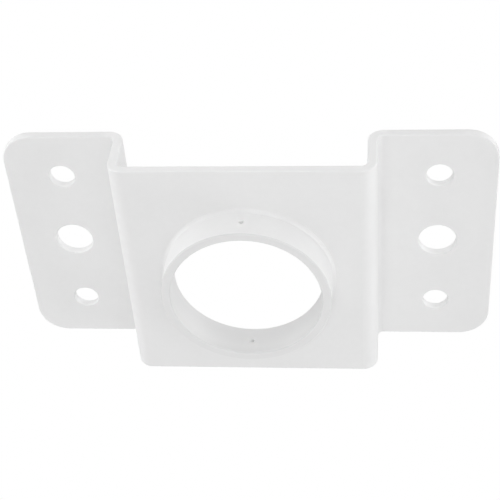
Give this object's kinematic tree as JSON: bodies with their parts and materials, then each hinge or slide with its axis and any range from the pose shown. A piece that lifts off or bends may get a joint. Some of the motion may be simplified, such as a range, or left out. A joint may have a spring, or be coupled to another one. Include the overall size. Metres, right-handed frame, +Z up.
{
  "type": "ceiling mount adapter",
  "caption": "Hat-section ceiling bracket folded from sheet, with drilled flanges and a short welded collar that takes a drop pipe.",
  "frame": {"origin": "centre of the four-screw pattern in the ceiling plane, on the collar's axis", "axes": "+X along the bracket across its two flanges, +Y along the folds, +Z up towards the ceiling"},
  "size_m": [0.16, 0.086, 0.0325],
  "materials": {
    "bracket_coat": "light neutral grey-white powder coat, satin, with fine orange peel",
    "collar_coat": "the same light neutral powder coat over tube and weld, thinner on the rim"
  },
  "bodies": {
    "root": {"bracket_plate": "bracket_coat", "pipe_collar": "collar_coat"}
  },
  "joints": []
}
